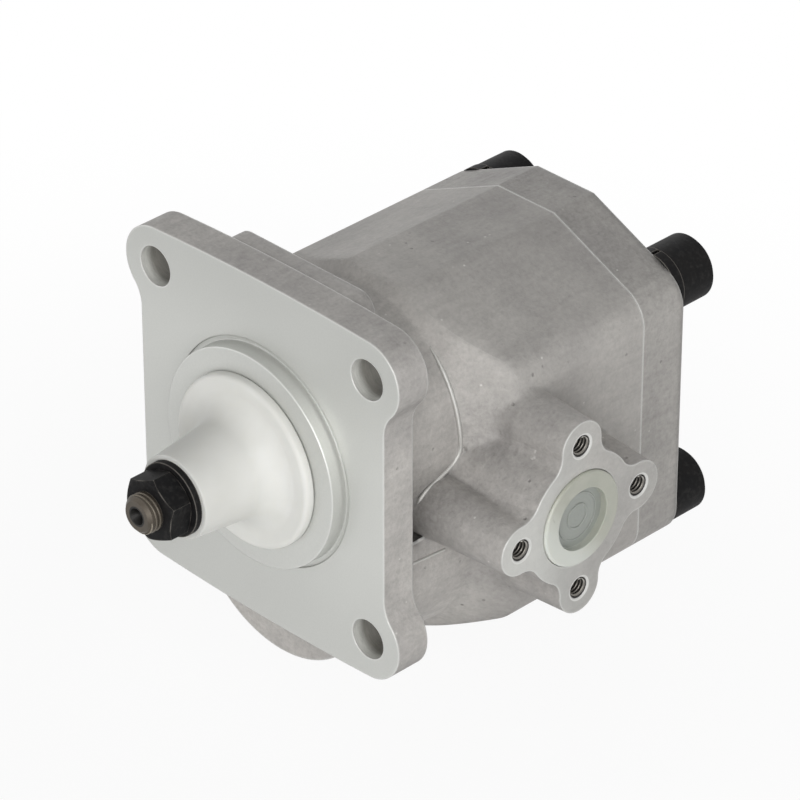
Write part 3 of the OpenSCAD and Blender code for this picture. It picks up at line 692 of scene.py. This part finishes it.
def resampled(body, voxel):
    """Points in millimetres, edges and four-sided faces of a solid's evenly resampled skin."""
    mould = bpy.data.objects.new("mould", body.data.copy())
    scene.collection.objects.link(mould)
    resample = mould.modifiers.new("resample", "REMESH")
    resample.mode = "VOXEL"
    resample.voxel_size = voxel*MM
    graph = bpy.context.evaluated_depsgraph_get()
    skin = bpy.data.meshes.new_from_object(mould.evaluated_get(graph))
    bpy.data.objects.remove(mould)
    points = np.empty(len(skin.vertices)*3)
    skin.vertices.foreach_get("co", points)
    edges = np.empty(len(skin.edges)*2, int)
    skin.edges.foreach_get("vertices", edges)
    faces = np.array([face.vertices[:] for face in skin.polygons])
    return points.reshape(-1, 3)/MM, edges.reshape(-1, 2), faces


def outward_ways(points, faces):
    """The direction out of a skin at each of its points."""
    corners = points[faces]
    across = np.cross(corners[:, 2] - corners[:, 0], corners[:, 3] - corners[:, 1])
    ways = np.stack([np.bincount(faces.ravel(), np.repeat(across[:, k], 4), len(points))
                     for k in range(3)], 1)
    return ways/np.maximum(np.linalg.norm(ways, axis=1), 1e-9)[:, None]


def shelled(points, faces, outward, wall):
    """A closed shell of that thickness under some faces of a skin."""
    used, faces = np.unique(faces, return_inverse=True)
    faces = faces.reshape(-1, 4)
    shift = len(used)
    points = np.concatenate([points[used], points[used] - wall*outward[used]])
    sides = np.stack([faces, np.roll(faces, -1, 1)], 2).reshape(-1, 2).tolist()
    both = {tuple(side) for side in sides}
    rims = [(b, a, a + shift, b + shift) for a, b in sides if (b, a) not in both]
    shell = faces.tolist() + (faces[:, ::-1] + shift).tolist() + rims
    return [tuple(p) for p in points.tolist()], [tuple(face) for face in shell]


def cast_fillets(body, voxel=0.7, rounds=16, pull=0.6, sink=0.06, margin=2, wall=0.5):
    """Soft fillets of a casting: its skin, smoothed, and kept where it then stands proud.

    The skin is sunk a little first, and what is kept is widened by a margin of faces.
    """
    points, edges, faces = resampled(body, voxel)
    count = len(points)
    first, second = edges.T
    share = cast_share(points)
    links = np.bincount(edges.ravel(), minlength=count)[:, None]
    for _ in range(rounds):
        total = np.stack([np.bincount(first, points[second, k], count)
                          + np.bincount(second, points[first, k], count) for k in range(3)], 1)
        points = points + pull*share[:, None]*(total/links - points)
    outward = outward_ways(points, faces)
    points = points - sink*outward

    solid = BVHTree.FromObject(body, bpy.context.evaluated_depsgraph_get())
    proud = np.zeros(count, bool)
    for i in np.flatnonzero(share > 0.05):
        place = Vector(points[i])*MM
        spot, normal, _, _ = solid.find_nearest(place)
        proud[i] = (place - spot).dot(normal) > 0
    for _ in range(margin):
        touched = proud.copy()
        touched[second[proud[first]]] = True
        touched[first[proud[second]]] = True
        proud = touched
    return shelled(points, faces[proud[faces].all(1)], outward, wall)


def seam(path, radius, fade=3, taper=3, sides=8):
    """A thin rounded ridge along points that rises over its first few and tapers at its end."""
    path = [Vector(p) for p in path]
    last = len(path) - 1
    sections = []
    out = (path[1] - path[0]).orthogonal()
    for i, middle in enumerate(path):
        along = (path[min(i + 1, last)] - path[max(i - 1, 0)]).normalized()
        out = (out - along*along.dot(out)).normalized()
        side = along.cross(out)
        r = radius*min(1.0, 0.25 + i/fade, 0.25 + (last - i)/taper)
        sections.append([tuple(middle + r*(math.cos(t)*out + math.sin(t)*side))
                         for t in (2*math.pi*k/sides for k in range(sides))])
    return swept(sections)


def smooth_path(points, steps=6):
    """Points of a smooth curve through the given ones."""
    pts = [Vector(p) for p in points]
    pts = [pts[0]*2 - pts[1]] + pts + [pts[-1]*2 - pts[-2]]
    curve = []
    for a, b, c, d in zip(pts, pts[1:], pts[2:], pts[3:]):
        for k in range(steps):
            t = k/steps
            curve.append(0.5*(2*b + (c - a)*t + (2*a - 5*b + 4*c - d)*t*t
                              + (3*b - a - 3*c + d)*t**3))
    return curve + [pts[-2]]


def casting_seams(side):
    """Flash lines that the mould left round the neck, above the port boss and along the lobe."""
    around = [math.radians(a) for a in range(48, 0, -6)]
    reach = NECK_R + 0.3
    neck = [(side*reach*math.cos(a), NECK_END + 0.1, reach*math.sin(a)) for a in around]
    neck += [(side*x, y, z) for x, y, z in NECK_SEAM_TAIL]
    lobe = []
    for y in LOBE_SEAM_Y:
        reach = LOBE_R + (y - LOBE_FRONT)*LOBE_DRAFT
        out = math.sqrt(reach*reach - LOBE_SEAM_UP*LOBE_SEAM_UP)
        lobe.append((side*out, y, IDLER_Z + LOBE_SEAM_UP))
    return joined([seam(smooth_path(neck), radius=0.58, fade=16),
                   seam(smooth_path(lobe), radius=0.4)])


piece("casting_fillets", *cast_fillets(frame["nodes"]["pump_body"]),
      cast_alloy("cast_fillets", wear_and_sheen=False), "housing", "cast_alloy")
seam_finish = seam_alloy("casting_seam")
thread_finish = turned_steel("cut_thread", linear(120, 116, 110), linear(214, 212, 206), rough=0.3)
for side, name in ((1, "inlet"), (-1, "outlet")):
    piece(name + "_screw_threads", *port_threads(side), thread_finish, "housing", "cast_alloy")
    piece(name + "_side_seams", *casting_seams(side), seam_finish, "housing", "cast_alloy")
    piece(name + "_plug_rings", *plug_rings(side), finishes["plug_plastic"],
          name + "_stopper", "plug_plastic")
piece("stud_thread", *stud_thread(), finishes["shaft_steel"], "drive", "shaft_steel")

# Camera at the photo's viewing angle, with its long lens
FOCAL_PX = 5000.0
IMAGE_PX = 800.0
SENSOR_MM = 36.0
DISTANCE = 1.268
AZIMUTH, ELEVATION = math.radians(45.5), math.radians(32.0)
AIM = Vector((0.0083, 0.0404, 0.0014))
back = Vector((math.sin(AZIMUTH)*math.cos(ELEVATION), -math.cos(AZIMUTH)*math.cos(ELEVATION),
               math.sin(ELEVATION)))
lens = bpy.data.cameras.new("camera")
lens.sensor_width = SENSOR_MM
lens.lens = FOCAL_PX/IMAGE_PX*SENSOR_MM
lens.clip_start, lens.clip_end = 0.05, 50.0
camera = bpy.data.objects.new("camera", lens)
camera.location = AIM + back*DISTANCE
camera.rotation_euler = (-back).to_track_quat("-Z", "Y").to_euler()
scene.collection.objects.link(camera)
scene.camera = camera
scene.view_settings.view_transform = "Standard"

# Soft sky that is brighter towards the horizon, and a pale floor that keeps the pump's shadow
SKY_TOP, SKY_RISE, SKY_FROM = 0.23, 0.52, 0.8
FLOOR_DROP = 0.0004
FLOOR_HALF = 4.0
FLOOR_GLOW = 0.92
FLOOR_FADE = (0.08, 0.32)


def seen_rays(tree):
    """1 for rays from the camera, a mirror or a clear piece."""
    camera_ray, glossy, through = (tree.node("ShaderNodeLightPath", {}, {}, "Is %s Ray" % kind)
                                   for kind in ("Camera", "Glossy", "Transmission"))
    return camera_ray.most(glossy).most(through)


world = bpy.data.worlds.new("studio")
scene.world = world
world.use_nodes = True
sky = Tree(world.node_tree)
way = sky.node("ShaderNodeTexCoord", {}, {}, "Generated")
height = sky.node("ShaderNodeSeparateXYZ", {}, {0: way}, "Z")
level = SKY_TOP + height.band(SKY_FROM, 0.0)*SKY_RISE
soft = sky.node("ShaderNodeBackground", {}, {"Color": WHITE, "Strength": level})
white = sky.node("ShaderNodeBackground", {}, {"Color": WHITE, "Strength": 1.0})
shown = sky.node("ShaderNodeMixShader", {}, {0: seen_rays(sky), 1: soft, 2: white})
sky.show("ShaderNodeOutputWorld", shown.socket)

floor_z = cad_box[0].z - FLOOR_DROP
floor_mesh = bpy.data.meshes.new("floor")
floor_corners = [(x*FLOOR_HALF, y*FLOOR_HALF, floor_z)
                 for x, y in ((-1, -1), (1, -1), (1, 1), (-1, 1))]
floor_mesh.from_pydata(floor_corners, [], [(0, 1, 2, 3)])
floor = bpy.data.objects.new("floor", floor_mesh)
scene.collection.objects.link(floor)
pale = bpy.data.materials.new("pale_floor")
pale.use_nodes = True
sheet = Tree(pale.node_tree)
matt = sheet.node("ShaderNodeBsdfDiffuse", {}, {"Color": FLOOR_GREY})
glow = sheet.node("ShaderNodeEmission", {}, {"Color": WHITE, "Strength": 1.0})
spot = sheet.node("ShaderNodeTexCoord", {}, {}, "Object")
away = sheet.node("ShaderNodeVectorMath", {"operation": "LENGTH"}, {0: spot}, "Value")
share = FLOOR_GLOW + away.band(*FLOOR_FADE)*(1.0 - FLOOR_GLOW)
shown = sheet.node("ShaderNodeMixShader", {}, {0: seen_rays(sheet)*share, 1: matt, 2: glow})
sheet.show("ShaderNodeOutputMaterial", shown.socket)
floor_mesh.materials.append(pale)


def lamp(name, direction, distance, size, watts):
    """A square soft light that faces the pump."""
    light = bpy.data.lights.new(name, "AREA")
    light.shape = "SQUARE"
    light.size = size
    light.energy = watts
    made = bpy.data.objects.new(name, light)
    way = Vector(direction).normalized()
    made.location = AIM + way*distance
    made.rotation_euler = (-way).to_track_quat("-Z", "Y").to_euler()
    scene.collection.objects.link(made)


lamp("key_light", direction=(0.68, -0.64, 0.3), distance=1.1, size=0.8, watts=7.6)
lamp("left_light", direction=(-0.7, -0.6, 0.2), distance=1.5, size=0.9, watts=1.4)
lamp("back_light", direction=(-0.62, 0.75, 0.14), distance=1.5, size=1.0, watts=3.6)
